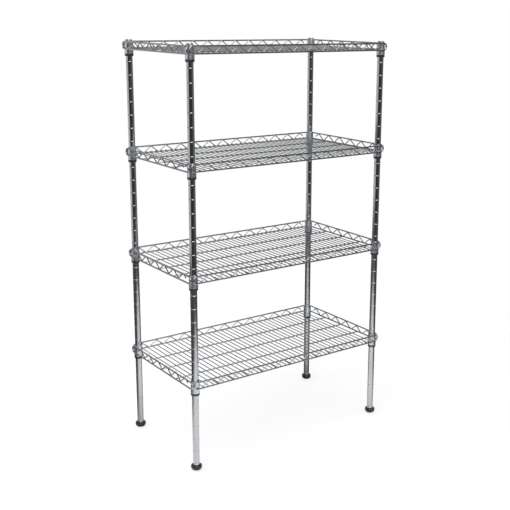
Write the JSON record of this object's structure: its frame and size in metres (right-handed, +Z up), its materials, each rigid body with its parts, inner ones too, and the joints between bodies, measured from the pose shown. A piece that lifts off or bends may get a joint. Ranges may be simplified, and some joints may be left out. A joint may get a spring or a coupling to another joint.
{
  "type": "wire shelving rack",
  "caption": "Open chrome wire shelving rack with grooved tube posts, rimmed wire shelves held on split sleeves, and screw levelling feet.",
  "frame": {"origin": "on the floor under the middle of the rack", "axes": "+X to the right along the long side, +Y to the back, +Z up"},
  "size_m": [0.9146, 0.5006, 1.5847],
  "materials": {
    "post_chrome": "bright chrome plate on rolled steel tube",
    "cap_chrome": "bright chrome plate",
    "wire_chrome": "chrome plate on welded wire, slightly soft",
    "collar_chrome": "chrome plate on pressed steel",
    "sleeve_plastic": "black moulded plastic, satin",
    "insert_plastic": "dark moulded plastic",
    "stud_zinc": "zinc plated steel",
    "foot_plastic": "black moulded plastic, satin"
  },
  "bodies": {
    "posts": {"front_left_post": "post_chrome", "front_left_cap": "cap_chrome", "front_left_insert": "insert_plastic", "front_right_post": "post_chrome", "front_right_cap": "cap_chrome", "front_right_insert": "insert_plastic", "back_left_post": "post_chrome", "back_left_cap": "cap_chrome", "back_left_insert": "insert_plastic", "back_right_post": "post_chrome", "back_right_cap": "cap_chrome", "back_right_insert": "insert_plastic", "bottom_outer_sleeves": "sleeve_plastic", "bottom_inner_sleeves": "sleeve_plastic", "lower_outer_sleeves": "sleeve_plastic", "lower_inner_sleeves": "sleeve_plastic", "upper_outer_sleeves": "sleeve_plastic", "upper_inner_sleeves": "sleeve_plastic", "top_outer_sleeves": "sleeve_plastic", "top_inner_sleeves": "sleeve_plastic"},
    "bottom_shelf": {"bottom_long_rims": "wire_chrome", "bottom_short_rims": "wire_chrome", "bottom_long_trusses": "wire_chrome", "bottom_short_trusses": "wire_chrome", "bottom_deck_wires": "wire_chrome", "bottom_supports": "wire_chrome", "bottom_collars": "collar_chrome"},
    "lower_shelf": {"lower_long_rims": "wire_chrome", "lower_short_rims": "wire_chrome", "lower_long_trusses": "wire_chrome", "lower_short_trusses": "wire_chrome", "lower_deck_wires": "wire_chrome", "lower_supports": "wire_chrome", "lower_collars": "collar_chrome"},
    "upper_shelf": {"upper_long_rims": "wire_chrome", "upper_short_rims": "wire_chrome", "upper_long_trusses": "wire_chrome", "upper_short_trusses": "wire_chrome", "upper_deck_wires": "wire_chrome", "upper_supports": "wire_chrome", "upper_collars": "collar_chrome"},
    "top_shelf": {"top_long_rims": "wire_chrome", "top_short_rims": "wire_chrome", "top_long_trusses": "wire_chrome", "top_short_trusses": "wire_chrome", "top_deck_wires": "wire_chrome", "top_supports": "wire_chrome", "top_collars": "collar_chrome"},
    "front_left_foot": {"front_left_foot": "foot_plastic"},
    "front_left_stud": {"front_left_stud": "stud_zinc"},
    "front_right_foot": {"front_right_foot": "foot_plastic"},
    "front_right_stud": {"front_right_stud": "stud_zinc"},
    "back_left_foot": {"back_left_foot": "foot_plastic"},
    "back_left_stud": {"back_left_stud": "stud_zinc"},
    "back_right_foot": {"back_right_foot": "foot_plastic"},
    "back_right_stud": {"back_right_stud": "stud_zinc"}
  },
  "joints": [
    {"name": "bottom_shelf_lift", "type": "slide", "parent": "posts", "child": "bottom_shelf", "axis": [0, 0, 1], "range_m": [0, 0.34]},
    {"name": "lower_shelf_lift", "type": "slide", "parent": "posts", "child": "lower_shelf", "axis": [0, 0, 1], "range_m": [0, 0.34]},
    {"name": "upper_shelf_lift", "type": "slide", "parent": "posts", "child": "upper_shelf", "axis": [0, 0, 1], "range_m": [0, 0.34]},
    {"name": "top_shelf_lift", "type": "slide", "parent": "posts", "child": "top_shelf", "axis": [0, 0, 1], "range_m": [0, 0.1]},
    {"name": "front_left_foot_drop", "type": "slide", "parent": "posts", "child": "front_left_foot", "axis": [0, 0, -1], "range_m": [0, 0.012]},
    {"name": "front_left_stud_turn", "type": "hinge", "parent": "front_left_foot", "child": "front_left_stud", "pos_m": [-0.435, -0.228, 0.01], "axis": [0, 0, -1], "range_deg": [0, 3460]},
    {"name": "front_right_foot_drop", "type": "slide", "parent": "posts", "child": "front_right_foot", "axis": [0, 0, -1], "range_m": [0, 0.012]},
    {"name": "front_right_stud_turn", "type": "hinge", "parent": "front_right_foot", "child": "front_right_stud", "pos_m": [0.435, -0.228, 0.01], "axis": [0, 0, -1], "range_deg": [0, 3460]},
    {"name": "back_left_foot_drop", "type": "slide", "parent": "posts", "child": "back_left_foot", "axis": [0, 0, -1], "range_m": [0, 0.012]},
    {"name": "back_left_stud_turn", "type": "hinge", "parent": "back_left_foot", "child": "back_left_stud", "pos_m": [-0.435, 0.228, 0.01], "axis": [0, 0, -1], "range_deg": [0, 3460]},
    {"name": "back_right_foot_drop", "type": "slide", "parent": "posts", "child": "back_right_foot", "axis": [0, 0, -1], "range_m": [0, 0.012]},
    {"name": "back_right_stud_turn", "type": "hinge", "parent": "back_right_foot", "child": "back_right_stud", "pos_m": [0.435, 0.228, 0.01], "axis": [0, 0, -1], "range_deg": [0, 3460]}
  ],
  "couplings": [
    {"joint": "front_left_stud_turn", "follows": "front_left_foot_drop", "rad_per_m": 5026.5},
    {"joint": "front_right_stud_turn", "follows": "front_right_foot_drop", "rad_per_m": 5026.5},
    {"joint": "back_left_stud_turn", "follows": "back_left_foot_drop", "rad_per_m": 5026.5},
    {"joint": "back_right_stud_turn", "follows": "back_right_foot_drop", "rad_per_m": 5026.5}
  ]
}
